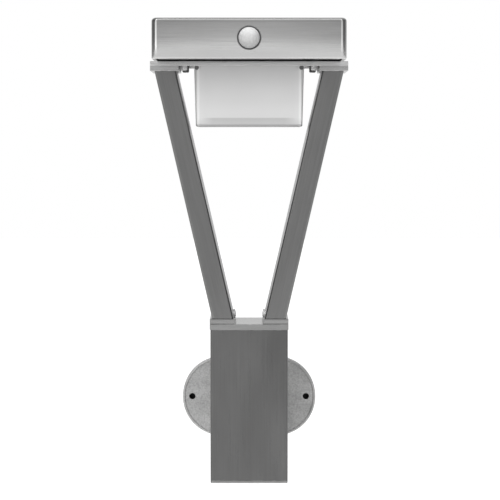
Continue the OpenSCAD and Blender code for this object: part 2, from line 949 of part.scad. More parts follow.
module tray_seal() color(rubber) on_axis(floor_z) difference() {
    rounded_plate(shell_inner_w, shell_inner_w, tray_t, shell_inner_r);
    translate([0, 0, -overrun]) rounded_plate(tray_w, tray_w, tray_t + 2 * overrun, tray_r);
}

module tray_screws() color(dark_steel)
    at_tray_screws(floor_z + tray_screw_sink)
        pan_screw(m3_d, tray_screw_l, m3_head_d, m3_head_h);

module head_bolts() color(dark_steel)
    at_head_bolts(floor_top_z) mirror([0, 0, 1])
        pan_screw(m3_d, head_bolt_l, m3_head_d, m3_head_h);

module head_washers() color(steel)
    at_head_bolts(web_z) mirror([0, 0, 1]) washer(m3_d, m3_washer_d, m3_washer_t);

module head_cap_nuts() color(steel)
    at_head_bolts(web_z - m3_washer_t) mirror([0, 0, 1])
        cap_nut(m3_d, m3_nut_af, m3_nut_h, m3_dome_h, m3_nut_h);

// Solar panel

module solar_glass() color([0.05, 0.07, 0.12, 0.6])
    on_axis(glass_z) rounded_plate(panel_w, panel_w, glass_t, window_r);

module solar_cells() color([0.03, 0.05, 0.14])
    on_axis(cells_z) for (i = [0 : cell_strips - 1])
        translate([-cell_area_w / 2 + i * cell_pitch, -cell_area_w / 2, 0])
            cube([cell_pitch - cell_gap, cell_area_w, cell_t]);

module panel_backing() color(black_plastic)
    on_axis(backing_z) rounded_plate(panel_w, panel_w, backing_t, window_r);

module panel_seal() color(rubber)
    on_axis(glass_z + glass_t)
        rounded_ring(panel_w, panel_w, panel_lap, panel_seal_t, window_r);

// Motion sensor

module pir_lens() color(opal) at_lens() difference() {
    union() {
        intersection() {
            translate([0, 0, lens_rise - lens_sphere_r]) sphere(lens_sphere_r);
            cylinder(d = lens_d, h = lens_rise + overrun);
        }
        translate([0, 0, -shell_t]) cylinder(d = lens_d, h = shell_t);
        translate([0, 0, -shell_t - lens_flange_t])
            cylinder(r = lens_flange_r, h = lens_flange_t);
    }
    intersection() {
        translate([0, 0, lens_rise - lens_sphere_r]) sphere(lens_sphere_r - lens_t);
        cylinder(d = lens_d, h = lens_rise);
    }
    translate([0, 0, -shell_t - lens_flange_t - overrun])
        cylinder(r = lens_d / 2 - lens_t, h = shell_t + lens_flange_t + overrun);
}

module pir_seal() color(rubber) at_lens() translate([0, 0, -shell_t]) difference() {
    cylinder(r = lens_d / 2 + lens_seal_w, h = shell_t + lens_seal_out);
    translate([0, 0, -overrun])
        cylinder(d = lens_d, h = shell_t + lens_seal_out + 2 * overrun);
}

module pir_holder() color(black_plastic) at_lens() difference() {
    translate([0, 0, -holder_back]) {
        cylinder(r = holder_r, h = holder_l);
        translate([-holder_foot_w / 2, floor_top_z - lens_z, 0])
            cube([holder_foot_w, lens_z - floor_top_z, holder_l]);
    }
    translate([0, 0, -holder_back - overrun])
        cylinder(r = holder_r - holder_t, h = holder_l + 2 * overrun);
}

module pir_board() color(board_green)
    at_lens() translate([0, 0, -holder_back - pir_board_t])
        rounded_plate(pir_board_w, pir_board_h, pir_board_t, flange_r);

module pir_sensor() color(steel) at_lens() translate([0, 0, -holder_back]) {
    cylinder(r = pir_base_r, h = pir_base_t);
    cylinder(r = pir_can_r, h = pir_can_h);
}

// Main board, switch and button

module main_board() color(board_green) difference() {
    on_axis(board_z) translate([board_x, board_y, 0])
        rounded_plate(board_w, board_d, board_t, flange_r);
    at_board_holes(board_z - overrun)
        cylinder(d = m2_d + 2 * hole_gap, h = board_t + 2 * overrun);
}

module main_board_screws() color(dark_steel)
    at_board_holes(board_z + board_t) mirror([0, 0, 1])
        pan_screw(m2_d, board_t + board_screw_l - end_air, m2_head_d, m2_head_h);

// A place over the board, its sides given as shares of the board's half width and half depth
function over_board(x_share, y_share, z) =
    [board_x + x_share * board_w / 2, board_y + y_share * board_d / 2, z];

module on_board(x_share, y_share) {
    on_axis() translate(over_board(x_share, y_share, board_z + board_t)) children();
}

module wire_socket() {
    translate([-socket_w / 2, -socket_d / 2, 0]) cube([socket_w, socket_d, socket_h]);
}

module board_parts() {
    color(rubber) on_board(chip_shares[0], chip_shares[1])
        translate([-chip_w / 2, -chip_w / 2, 0]) cube([chip_w, chip_w, chip_t]);
    color(dark_steel) on_board(coil_shares[0], coil_shares[1])
        cylinder(d = coil_d, h = coil_h);
    color(dark_steel) for (x_share = capacitor_x_shares)
        on_board(x_share, capacitor_y_share) cylinder(d = capacitor_d, h = capacitor_h);
    color(opal) for (x_share = [-socket_x_share, 0, socket_x_share])
        on_board(x_share, socket_y_share) wire_socket();
    color(opal) on_board(sensor_socket_x_share, 0) wire_socket();
}

module switch_body() color(black_plastic) difference() {
    at_button(switch_z) translate([-switch_w / 2, -switch_w / 2, 0])
        cube([switch_w, switch_w, switch_h]);
    at_button(switch_z - overrun)
        cylinder(
            r = plunger_r + thread_gap,
            h = overrun + plunger_in + button_travel + plunger_end_air
        );
}

module switch_plunger() color("white")
    at_button(button_top_z - plunger_seat)
        cylinder(r = plunger_r, h = plunger_seat + button_travel + switch_air + plunger_in);

module mode_button() color(rubber) at_button(button_z) difference() {
    rotate_extrude() {
        translate([0, button_edge_r]) square([button_d / 2, button_h - button_edge_r]);
        square([button_d / 2 - button_edge_r, button_h]);
        translate([button_d / 2 - button_edge_r, button_edge_r]) circle(button_edge_r);
        translate([0, button_h - button_flange_t])
            square([button_d / 2 + button_gap + button_lap, button_flange_t]);
    }
    translate([0, 0, button_h - plunger_seat])
        cylinder(r = plunger_r, h = plunger_seat + overrun);
}

// Battery bay

module along_cell(x) {
    at_bay(battery_z) translate([x, 0, 0]) rotate([0, 90, 0]) children();
}

module battery_cell() color("steelblue") {
    along_cell(-battery_l / 2) cylinder(d = battery_d, h = battery_l - nub_l);
    along_cell(battery_l / 2 - nub_l) cylinder(d = nub_d, h = nub_l);
}

module at_door_screws(z) {
    at_bay(z) left_and_right() translate([door_screw_x, 0, 0]) children();
}

module battery_holder() color(black_plastic) difference() {
    union() {
        at_bay(floor_top_z) rounded_plate(
            door_l + 2 * bay_flange_w,
            door_w + 2 * bay_flange_w,
            bay_flange_t,
            door_r + bay_flange_w / 2
        );
        at_bay(floor_top_z) rounded_plate(
            bay_l + 2 * bay_t,
            bay_w + 2 * bay_t,
            bay_h + bay_top_t,
            bay_t
        );
        at_door_screws(floor_top_z) cylinder(d = door_boss_d, h = door_boss_h);
    }
    at_bay(floor_top_z - overrun)
        translate([-bay_l / 2, -bay_w / 2, 0]) cube([bay_l, bay_w, bay_h + overrun]);
    at_door_screws(floor_top_z - overrun)
        cylinder(d = m3_d + 2 * thread_gap, h = door_boss_h);
}

module battery_contacts() color(steel) {
    left_and_right() at_bay(battery_z)
        translate([bay_l / 2 - contact_t, -contact_w / 2, -contact_w / 2])
            cube([contact_t, contact_w, contact_w]);
    along_cell(battery_l / 2) cylinder(d = nub_d, h = contact_room - contact_t);
    mirror([1, 0, 0]) along_cell(battery_l / 2) difference() {
        cylinder(r1 = spring_tip_r, r2 = spring_r, h = contact_room - contact_t);
        translate([0, 0, -overrun])
            cylinder(r = spring_tip_r - contact_t, h = contact_room + overrun);
    }
}

module battery_door() color(black_plastic) difference() {
    union() {
        at_bay(floor_z) rounded_plate(
            door_l - 2 * slip_gap,
            door_w - 2 * slip_gap,
            door_t,
            door_r - slip_gap
        );
        at_bay(floor_z) left_and_right() translate([door_rib_x, -bay_w / 4, 0])
            cube([door_rib_w, bay_w / 2, tray_t + cell_lift]);
    }
    at_door_screws(floor_z)
        countersunk_hole(m3_d, tray_t + overrun, m3_head_d, m3_csk_h);
}

module battery_door_seal() color(rubber)
    at_bay(floor_z + door_t)
        rounded_ring(
            bay_l + 2 * door_seal_w + slip_gap,
            bay_w + 2 * door_seal_w + slip_gap,
            door_seal_w,
            door_seal_t,
            door_seal_w
        );

module battery_door_screws() color(dark_steel)
    at_door_screws(floor_z) countersunk_screw(m3_d, door_screw_l, m3_head_d, m3_csk_h);

// Lamp board

module at_led_screws(z) {
    on_axis(z) four_ways()
        translate([led_board_w / 2 - led_screw_in, led_board_d / 2 - led_screw_in, 0])
            children();
}

module led_board() color("white") difference() {
    on_axis(floor_top_z) rounded_plate(led_board_w, led_board_d, led_board_t, box_r);
    at_led_screws(floor_top_z - overrun)
        cylinder(d = m2_d + 2 * hole_gap, h = led_board_t + 2 * overrun);
}

module led_chips() color("khaki")
    on_axis(floor_top_z - led_t)
        for (i = [0 : led_cols - 1], j = [0 : led_rows - 1])
            translate([
                led_area_share * led_open_w * (i / (led_cols - 1) - 1 / 2) - led_w / 2,
                led_area_share * led_open_d * (j / (led_rows - 1) - 1 / 2) - led_w / 2,
                0
            ]) cube([led_w, led_w, led_t]);

module led_board_screws() color(dark_steel)
    at_led_screws(floor_top_z + led_board_t) mirror([0, 0, 1])
        pan_screw(m2_d, led_screw_l, m2_head_d, m2_head_h);

// Inner leads: straight legs with a ball at each turn

module wire(points) {
    for (i = [1 : len(points) - 1]) {
        leg = points[i] - points[i - 1];
        translate(points[i - 1])
            rotate([0, acos(leg[2] / norm(leg)), atan2(leg[1], leg[0])])
                cylinder(r = wire_r, h = norm(leg));
    }
    for (i = [1 : len(points) - 2])
        translate(points[i]) sphere(wire_r * wire_turn_share);
}

// A pair that goes from a place over a row socket's column to the socket's top
module socket_wires(x_share, start_y, start_z) {
    socket_top = over_board(x_share, socket_y_share, board_z + board_t + socket_h);
    for (s = [-1, 1]) {
        x = socket_top[0] + s * wire_pitch / 2;
        start = [x, start_y, start_z];
        color(s < 0 ? "firebrick" : rubber) on_axis() wire(concat(
            start_z == wire_z ? [start] : [start, [x, start_y, wire_z]],
            [[x, socket_top[1], wire_z], [x, socket_top[1], socket_top[2]]]
        ));
    }
}

module sensor_wires() {
    socket_top = over_board(sensor_socket_x_share, 0, board_z + board_t + socket_h);
    for (s = [-1, 1]) {
        x = sensor_wire_x_share * pir_board_w + s * wire_pitch / 2;
        y = socket_top[1] - s * wire_pitch / 2;
        color(s < 0 ? "firebrick" : rubber) on_axis() wire([
            [x, holder_back + pir_board_t - head_w / 2, wire_z],
            [x, y, wire_z],
            [socket_top[0], y, wire_z],
            [socket_top[0], y, socket_top[2]]
        ]);
    }
}

module lead_wires() {
    socket_wires(-socket_x_share, battery_y - bay_w / 2 - bay_t, wire_z);
    socket_wires(0, -led_wire_y_share * led_board_d, floor_top_z + led_board_t);
    socket_wires(socket_x_share, -panel_wire_y_share * panel_w / 2, backing_z);
    sensor_wires();
}

wall_gasket();
wall_plate();
standoff_tube();
standoff_bolts();
standoff_washers();
standoff_nuts();
post_body();
post_foot_plate();
post_cap();
cap_screws();
foot_flange_left();
foot_flange_right();
foot_flange_screws();
arm_left();
arm_right();
arm_screws();
top_flange_left();
top_flange_right();
top_flange_screws();
cross_plate();
diffuser();
diffuser_seal();
diffuser_clips();
diffuser_screws();
window_seal();
head_shell();
shell_brackets();
base_tray();
tray_seal();
tray_screws();
head_bolts();
head_washers();
head_cap_nuts();
solar_glass();
solar_cells();
panel_backing();
panel_seal();
pir_lens();
pir_seal();
pir_holder();
pir_board();
pir_sensor();
main_board();
main_board_screws();
board_parts();
switch_body();
switch_plunger();
mode_button();
battery_cell();
battery_holder();
battery_contacts();
battery_door();
battery_door_seal();
battery_door_screws();
led_board();
led_chips();
led_board_screws();
lead_wires();
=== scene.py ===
# Solar fence light: a brushed-steel head with a motion sensor and an opal light box, on a V of
# tube arms over a square post with a wall bracket. Sections follow the way it is put together.
import math

import bmesh
import bpy
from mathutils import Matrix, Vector


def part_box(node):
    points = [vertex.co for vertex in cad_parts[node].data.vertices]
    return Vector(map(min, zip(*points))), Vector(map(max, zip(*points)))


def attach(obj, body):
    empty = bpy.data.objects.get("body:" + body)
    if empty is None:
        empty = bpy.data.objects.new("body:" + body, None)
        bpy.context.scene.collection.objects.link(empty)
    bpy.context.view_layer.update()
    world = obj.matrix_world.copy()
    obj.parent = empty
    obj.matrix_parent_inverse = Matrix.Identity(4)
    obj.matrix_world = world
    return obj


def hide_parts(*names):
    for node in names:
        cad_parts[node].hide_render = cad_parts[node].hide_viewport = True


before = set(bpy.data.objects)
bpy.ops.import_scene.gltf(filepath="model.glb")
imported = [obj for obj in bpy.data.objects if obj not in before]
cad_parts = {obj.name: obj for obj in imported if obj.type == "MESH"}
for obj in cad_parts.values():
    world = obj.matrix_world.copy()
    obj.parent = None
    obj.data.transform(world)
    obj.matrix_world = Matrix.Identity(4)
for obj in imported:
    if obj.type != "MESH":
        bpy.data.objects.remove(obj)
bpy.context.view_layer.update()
bpy.ops.object.select_all(action="DESELECT")

# Camera
# A long lens straight in front of the light, at about three quarters of its height, as in the
# photograph.
eye = Vector((0, -1.666, 0.2132))
aim = Vector((0.0007, -0.112, 0.1295))
bpy.ops.object.camera_add(location=eye, rotation=(aim - eye).to_track_quat("-Z", "Y").to_euler())
camera = bpy.context.object
camera.name = "camera"
camera.data.lens = 141.6
camera.data.sensor_width = 36
bpy.context.scene.camera = camera
bpy.context.scene.view_settings.view_transform = "Standard"


# Studio
# Large soft lamps in a pale room. Behind the light the room is white, for the metal as for the
# camera. In front it is bright low down, and darker above and at the sides, which gives brushed
# steel its shades. The light hangs on its wall plate, so the pale floor lies well below it.
def soft_lamp(name, place, width, watts):
    bpy.ops.object.light_add(
        type="AREA",
        location=place,
        rotation=(aim - Vector(place)).to_track_quat("-Z", "Y").to_euler(),
    )
    lamp = bpy.context.object
    lamp.name = name
    lamp.data.size = width
    lamp.data.energy = watts
    lamp.visible_camera = False
    lamp.visible_glossy = False
    lamp.visible_transmission = False


soft_lamp("key_lamp", (-1.2, -1.9, 0.75), width=1.2, watts=30)
soft_lamp("fill_lamp", (1.5, -1.6, 0.5), width=1.1, watts=14)
soft_lamp("top_lamp", (-0.1, -0.4, 1.9), width=1.5, watts=42)


def feed(tree, value, socket):
    if isinstance(value, (int, float)):
        socket.default_value = value
    elif isinstance(value, tuple):
        socket.default_value = (*value, 1) if socket.type == "RGBA" else value
    else:
        tree.links.new(value, socket)


def operate(tree, node_type, kind, values):
    node = tree.nodes.new(node_type)
    node.operation = kind
    for value, socket in zip(values, node.inputs):
        feed(tree, value, socket)
    return node.outputs[0]


def maths(tree, kind, *values):
    return operate(tree, "ShaderNodeMath", kind, values)


def blend(tree, kind, factor, first, second):
    node = tree.nodes.new("ShaderNodeMix")
    node.data_type = "RGBA"
    node.blend_type = kind
    for value, label in ((factor, "Factor"), (first, "A"), (second, "B")):
        feed(tree, value, node.inputs[label])
    return node.outputs["Result"]


def spread(tree, value, low, high, start=0.3, end=0.7):
    node = tree.nodes.new("ShaderNodeMapRange")
    node.inputs["From Min"].default_value = start
    node.inputs["From Max"].default_value = end
    node.inputs["To Min"].default_value = low
    node.inputs["To Max"].default_value = high
    tree.links.new(value, node.inputs["Value"])
    return node.outputs["Result"]


def tone_ramp(tree, value, stops):
    node = tree.nodes.new("ShaderNodeValToRGB")
    ramp = node.color_ramp
    while len(ramp.elements) < len(stops):
        ramp.elements.new(1)
    for element, (place, level) in zip(ramp.elements, stops):
        element.position = place
        element.color = (level, level, level, 1)
    tree.links.new(value, node.inputs["Fac"])
    return node.outputs["Color"]


def split_axes(tree, vector):
    node = tree.nodes.new("ShaderNodeSeparateXYZ")
    tree.links.new(vector, node.inputs[0])
    return node.outputs


def seen_straight(tree, ray):
    return maths(tree, "MAXIMUM", ray["Is Camera Ray"], ray["Is Transmission Ray"])


white = (1.0, 1.0, 1.0)
room = bpy.data.worlds.new("pale_room")
bpy.context.scene.world = room
room.use_nodes = True
tree = room.node_tree
tree.nodes.clear()
way = split_axes(tree, tree.nodes.new("ShaderNodeTexCoord").outputs["Generated"])
height = spread(tree, way["Z"], 0, 1, start=-1, end=1)
height_tone = tone_ramp(tree, height, (
    (0.0, 0.9), (0.46, 1.2), (0.5, 0.9), (0.53, 0.66), (0.58, 0.66), (0.61, 0.55), (0.76, 0.46),
    (0.9, 1.0),
))
turn = maths(tree, "ARCTAN2", way["X"], maths(tree, "MULTIPLY", way["Y"], -1))
heading = spread(tree, turn, 0, 1, start=-math.pi, end=math.pi)
heading_tone = tone_ramp(tree, heading, (
    (0.15, 0.3), (0.27, 0.22), (0.355, 0.22), (0.38, 2.1), (0.44, 1.5), (0.465, 0.9),
    (0.491, 0.5), (0.498, 1.12), (0.501, 1.06), (0.508, 0.55), (0.52, 0.5), (0.54, 1.4),
    (0.6, 1.2), (0.64, 0.16), (0.73, 0.2), (0.76, 0.5), (0.85, 0.45),
))
shade = blend(tree, "MULTIPLY", 1.0, height_tone, heading_tone)
behind = spread(tree, way["Y"], 0, 1, start=0.5, end=0.75)
shade = blend(tree, "MIX", behind, shade, white)
ray = tree.nodes.new("ShaderNodeLightPath").outputs
background = tree.nodes.new("ShaderNodeBackground")
feed(tree, blend(tree, "MIX", seen_straight(tree, ray), shade, white), background.inputs["Color"])
output = tree.nodes.new("ShaderNodeOutputWorld")
tree.links.new(background.outputs[0], output.inputs["Surface"])


def new_material(name):
    made = bpy.data.materials.new(name)
    made.use_nodes = True
    return made, made.node_tree


def fill_shader(tree, values):
    sockets = tree.nodes["Principled BSDF"].inputs
    for label, value in values.items():
        feed(tree, value, sockets[label])


# The floor's own glow evens out the lamps' bright spots, and makes it white for the camera.
floor_z = -0.45
even_glow = 0.45
camera_glow = 0.46
metal_glow = 0.14
bpy.ops.mesh.primitive_plane_add(size=24, location=(0, 0, floor_z))
floor = bpy.context.object
floor.name = "floor"
floor_white, tree = new_material("floor_white")
ray = tree.nodes.new("ShaderNodeLightPath").outputs
glow = maths(tree, "MULTIPLY_ADD", seen_straight(tree, ray), camera_glow, even_glow)
fill_shader(tree, {
    "Base Color": (0.4, 0.4, 0.4),
    "Roughness": 0.9,
    "Specular IOR Level": 0.1,
    "Emission Color": white,
    "Emission Strength": maths(tree, "MULTIPLY_ADD", ray["Is Glossy Ray"], metal_glow, glow),
})
floor.data.materials.append(floor_white)
bpy.ops.object.select_all(action="DESELECT")


# Wall pad
# A pad of black rubber behind the wall plate. It is left whole behind the screw holes, and the
# wall screws pierce it. Its edge is rounded by the mould.
X, Y, Z = range(3)


def mm(*values):
    return Vector(values) * 0.001


def settle(name):
    piece = bpy.context.object
    piece.name = name
    piece.data.name = name
    bpy.ops.object.transform_apply(location=True, rotation=True, scale=True)
    return piece


def block(name, low, high):
    bpy.ops.mesh.primitive_cube_add(size=1, location=(low + high) / 2, scale=high - low)
    return settle(name)


def choose(piece, kind, test):
    bpy.ops.object.mode_set(mode="EDIT")
    bpy.ops.mesh.select_mode(type=kind)
    bpy.ops.mesh.select_all(action="DESELECT")
    mesh = bmesh.from_edit_mesh(piece.data)
    for item in {"FACE": mesh.faces, "EDGE": mesh.edges, "VERT": mesh.verts}[kind]:
        if test(item):
            item.select_set(True)
    mesh.select_flush_mode()
    bmesh.update_edit_mesh(piece.data)


def runs_along(edge, axis):
    direction = (edge.verts[1].co - edge.verts[0].co).normalized()
    return abs(direction[axis]) > 0.9


def lies_at(item, axis, level):
    return all(abs(point.co[axis] - level) < 0.00002 for point in item.verts)


def round_edges(piece, test, radius, steps):
    choose(piece, "EDGE", test)
    bpy.ops.mesh.bevel(offset=radius, segments=steps, affect="EDGES")
    bpy.ops.object.mode_set(mode="OBJECT")


def round_rim(piece, axis, level, radius, steps):
    round_edges(piece, lambda edge: lies_at(edge, axis, level), radius, steps)


def rounded_block(name, low, high, axis, radius, steps=6):
    piece = block(name, low, high)
    round_edges(piece, lambda edge: runs_along(edge, axis), radius, steps)
    return piece


def apply_modifier(piece, kind, **settings):
    bpy.context.view_layer.objects.active = piece
    modifier = piece.modifiers.new("step", kind)
    for key, value in settings.items():
        setattr(modifier, key, value)
    bpy.ops.object.modifier_apply(modifier="step")


def finish(piece, material, node, edge=0, body="lamp", steps=2, angle=38):
    if edge:
        apply_modifier(
            piece, "BEVEL", width=edge, segments=steps, limit_method="ANGLE",
            angle_limit=math.radians(angle), use_clamp_overlap=True,
        )
    bpy.context.view_layer.objects.active = piece
    piece.select_set(True)
    bpy.ops.object.shade_smooth_by_angle(angle=math.radians(angle))
    apply_modifier(piece, "WEIGHTED_NORMAL", keep_sharp=True)
    piece.data.materials.clear()
    piece.data.materials.append(material)
    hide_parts(node)
    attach(piece, body)
    bpy.ops.object.select_all(action="DESELECT")


def vector_maths(tree, kind, *values):
    return operate(tree, "ShaderNodeVectorMath", kind, values)


def speck_noise(tree, place, scale, detail=2):
    scales = scale if isinstance(scale, tuple) else (scale, scale, scale)
    noise = tree.nodes.new("ShaderNodeTexNoise")
    noise.inputs["Scale"].default_value = 1
    noise.inputs["Detail"].default_value = detail
    feed(tree, vector_maths(tree, "MULTIPLY", place, scales), noise.inputs["Vector"])
    return noise.outputs["Fac"]


def bumpy(tree, height, distance, strength):
    bump = tree.nodes.new("ShaderNodeBump")
    for value, label in ((height, "Height"), (distance, "Distance"), (strength, "Strength")):
        feed(tree, value, bump.inputs[label])
    return bump.outputs["Normal"]


def new_group(name, inputs, outputs):
    group = bpy.data.node_groups.new(name, "ShaderNodeTree")
    for side, sockets in (("INPUT", inputs), ("OUTPUT", outputs)):
        for label, kind in sockets.items():
            group.interface.new_socket(label, in_out=side, socket_type="NodeSocket" + kind)
    given = group.nodes.new("NodeGroupInput").outputs
    put = group.nodes.new("NodeGroupOutput").inputs
    return group, given, put


def use_group(tree, group, place, **values):
    node = tree.nodes.new("ShaderNodeGroup")
    node.node_tree = group
    tree.links.new(place, node.inputs["Place"])
    for label, value in values.items():
        node.inputs[label].default_value = value
    return node.outputs


def object_place(tree):
    return tree.nodes.new("ShaderNodeTexCoord").outputs["Object"]


moulded, given, put = new_group(
    "moulded_grain",
    {"Place": "Vector", "Fineness": "Float", "Depth": "Float"},
    {"Tone": "Float", "Dust": "Float", "Normal": "Vector"},
)
scaled = vector_maths(moulded, "MULTIPLY", given["Place"], given["Fineness"])
pits = speck_noise(moulded, scaled, 1.0, detail=3)
dust = speck_noise(moulded, given["Place"], 60.0, detail=4)
feed(moulded, spread(moulded, pits, 0.86, 1.0), put["Tone"])
feed(moulded, spread(moulded, dust, 0, 1), put["Dust"])
feed(moulded, bumpy(moulded, pits, 0.0001, given["Depth"]), put["Normal"])


def moulded_material(name, colour, roughness, fineness=2600, depth=0.3, metallic=0, dust=0.1):
    made, tree = new_material(name)
    grained = use_group(tree, moulded, object_place(tree), Fineness=fineness, Depth=depth)
    toned = blend(tree, "MULTIPLY", 1.0, colour, grained["Tone"])
    dusty = tuple(level + dust * (0.5 - level) for level in colour)
    fill_shader(tree, {
        "Base Color": blend(tree, "MIX", grained["Dust"], toned, dusty),
        "Roughness": spread(tree, grained["Dust"], roughness - 0.06, roughness + 0.06, 0, 1),
        "Normal": grained["Normal"],
        "Metallic": metallic,
    })
    return made


rubber = moulded_material("rubber", (0.012, 0.012, 0.013), 0.72, fineness=1500, depth=0.5)
low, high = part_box("wall_gasket")
end_radius = 0.99 * (high.z - low.z) / 2
pad = rounded_block("wall_pad", low, high, Y, end_radius, steps=24)
finish(pad, rubber, "wall_gasket", edge=0.0004)

# Wall plate
# A shallow obround cup drawn from steel sheet, with a raised rim and two punched screw holes. Two
# bolts through its middle carry the stand-off tube. It is blasted and lacquered, so it has a fine
# mottle in place of streaks.
# This mask marks a band along a piece's edges, which are made paler: partly rubbed wear, partly a
# painted highlight.
edge_wear_and_sheen, given, put = new_group(
    "edge_wear_and_sheen",
    {"Place": "Vector", "Centre": "Vector", "Half": "Vector", "Width": "Float"},
    {"Mask": "Float"},
)
offset = vector_maths(edge_wear_and_sheen, "SUBTRACT", given["Place"], given["Centre"])
reach = vector_maths(edge_wear_and_sheen, "ABSOLUTE", offset)
inside = vector_maths(edge_wear_and_sheen, "SUBTRACT", given["Half"], reach)
depth_x, depth_y, depth_z = split_axes(edge_wear_and_sheen, inside)
# The middle one of the three depths is the distance to the nearest edge of the piece's box.
lower = maths(edge_wear_and_sheen, "MINIMUM", depth_x, depth_y)
upper = maths(edge_wear_and_sheen, "MAXIMUM", depth_x, depth_y)
middle_depth = maths(edge_wear_and_sheen, "MAXIMUM", lower, maths(edge_wear_and_sheen, "MINIMUM", upper, depth_z))
share = maths(edge_wear_and_sheen, "DIVIDE", middle_depth, given["Width"])
near = spread(edge_wear_and_sheen, share, 1, 0, start=0, end=1)
broken = speck_noise(edge_wear_and_sheen, given["Place"], 260.0)
broken = spread(edge_wear_and_sheen, broken, 0, 1, start=0.35, end=0.65)
feed(edge_wear_and_sheen, maths(edge_wear_and_sheen, "MULTIPLY", near, broken), put["Mask"])


def worn_and_sheened_edges(tree, place, box, width):
    centre = (box[0] + box[1]) / 2
    half = (box[1] - box[0]) / 2
    return use_group(tree, edge_wear_and_sheen, place, Centre=centre, Half=half, Width=width)["Mask"]


def grey(level):
    capped = min(1, level)
    return (capped, capped, capped * 0.995)


blasted, tree = new_material("blasted_steel")
place = object_place(tree)
mottle = speck_noise(tree, place, 900.0, detail=3)
stain = speck_noise(tree, place, 55.0)
tone = blend(tree, "MIX", spread(tree, mottle, 0, 1), grey(0.315), grey(0.485))
tone = blend(tree, "MULTIPLY", 1.0, tone, spread(tree, stain, 0.8, 1.08))
# Paler edges: partly wear, partly a painted highlight.
wear_and_sheen = worn_and_sheened_edges(tree, place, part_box("wall_plate"), width=0.0012)
fill_shader(tree, {
    "Base Color": blend(tree, "MIX", wear_and_sheen, tone, grey(0.6)),
    "Roughness": spread(tree, mottle, 0.36, 0.5),
    "Metallic": 0.3,
    "Normal": bumpy(tree, mottle, 0.0002, 0.16),
})


def round_bar(name, radius, start, axis, length, sides=32):
    direction = Vector((axis == X, axis == Y, axis == Z))
    bpy.ops.mesh.primitive_cylinder_add(
        vertices=sides,
        radius=radius,
        depth=length,
        location=start + direction * length / 2,
        rotation=direction.to_track_quat("Z", "Y").to_euler(),
    )
    return settle(name)


def cut(piece, cutter):
    apply_modifier(piece, "BOOLEAN", object=cutter, operation="DIFFERENCE", solver="EXACT")
    bpy.data.objects.remove(cutter)


def inset_face(piece, axis, level, *insets):
    choose(piece, "FACE", lambda face: lies_at(face, axis, level))
    for thickness, depth in insets:
        bpy.ops.mesh.inset(thickness=thickness, depth=depth)
    bpy.ops.object.mode_set(mode="OBJECT")


# A cutter runs this far past the surface that it opens.
past = 0.001
sheet = 0.0015
wall_screw_x = 0.048
wall_screw_radius = 0.0026
low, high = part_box("wall_plate")
half_height = (high.z - low.z) / 2
cup = rounded_block("wall_cup", low, high, Y, 0.99 * half_height, steps=32)
round_rim(cup, Y, low.y, radius=0.0014, steps=5)
inset_face(cup, Y, low.y, (0.0004, 0), (0.0006, -0.0005))
hollow_low = low + Vector((sheet, sheet, sheet))
hollow_high = high + Vector((-sheet, sheet, -sheet))
hollow = rounded_block("hollow", hollow_low, hollow_high, Y, 0.94 * half_height, steps=32)
round_rim(hollow, Y, hollow_low.y, radius=0.0011, steps=4)
cut(cup, hollow)
for side in (-1, 1):
    start = Vector((side * wall_screw_x, low.y - past, 0))
    cut(cup, round_bar("hole", wall_screw_radius, start, Y, high.y - start.y))
finish(cup, blasted, "wall_plate", edge=0.0002, steps=1, angle=30)

# Stand-off tube
# A rectangular steel tube between the wall plate and the post, clamped there by two bolts. It is
# brushed round, across its length.
brushed, given, put = new_group(
    "brushed_grain",
    {"Place": "Vector", "Depth": "Float"},
    {"Streak": "Float", "Cloud": "Float", "Normal": "Vector"},
)
coarse = speck_noise(brushed, given["Place"], (12.0, 700.0, 700.0))
fine = speck_noise(brushed, given["Place"], (40.0, 3400.0, 3400.0), detail=1)
streak = maths(brushed, "MULTIPLY_ADD", coarse, 0.45, maths(brushed, "MULTIPLY", fine, 0.55))
feed(brushed, streak, put["Streak"])
feed(brushed, speck_noise(brushed, given["Place"], (10.0, 34.0, 34.0)), put["Cloud"])
feed(brushed, bumpy(brushed, streak, 0.0002, given["Depth"]), put["Normal"])
# The grain is turned by this much, so that its streaks run along X.
along_x = (0, 0, 0)


# Each piece gets its own tone, set to how bright it looks in place: one stainless steel in lit and
# shaded copies, which is painted light and shade.
def steel(name, tone, box, turn=along_x, roughness=0.3, streaks=0.1, clouds=0.1, edge_band=0.0009):
    made, tree = new_material(name)
    place = object_place(tree)
    turned = tree.nodes.new("ShaderNodeMapping")
    turned.inputs["Rotation"].default_value = turn
    tree.links.new(place, turned.inputs["Vector"])
    grained = use_group(tree, brushed, turned.outputs[0], Depth=0.1)
    streak = spread(tree, grained["Streak"], 0, 1)
    metal = blend(tree, "MIX", streak, grey(tone * (1 - streaks)), grey(tone * (1 + streaks)))
    metal = blend(tree, "MULTIPLY", 1.0, metal, spread(tree, grained["Cloud"], 1 - clouds, 1))
    # Paler edges: partly wear, partly a painted highlight.
    wear_and_sheen = worn_and_sheened_edges(tree, place, box, edge_band)
    fill_shader(tree, {
        "Base Color": blend(tree, "MIX", wear_and_sheen, metal, grey(tone * 1.5)),
        "Metallic": 1,
        "Roughness": spread(tree, grained["Streak"], roughness - 0.06, roughness + 0.06),
        "Normal": grained["Normal"],
    })
    return made


def bore_through(tube, low, high, axis, wall, radius):
    margin = Vector((wall, wall, wall))
    margin[axis] = -past
    cut(tube, rounded_block("hollow", low + margin, high - margin, axis, radius, steps=4))


low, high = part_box("standoff_tube")
standoff = rounded_block("standoff", low, high, Y, radius=0.003)
bore_through(standoff, low, high, Y, wall=0.002, radius=0.001)
# Painted light: the tube's steel tone is set for how it looks in place.
finish(standoff, steel("standoff_steel", 0.34, (low, high)), "standoff_tube")

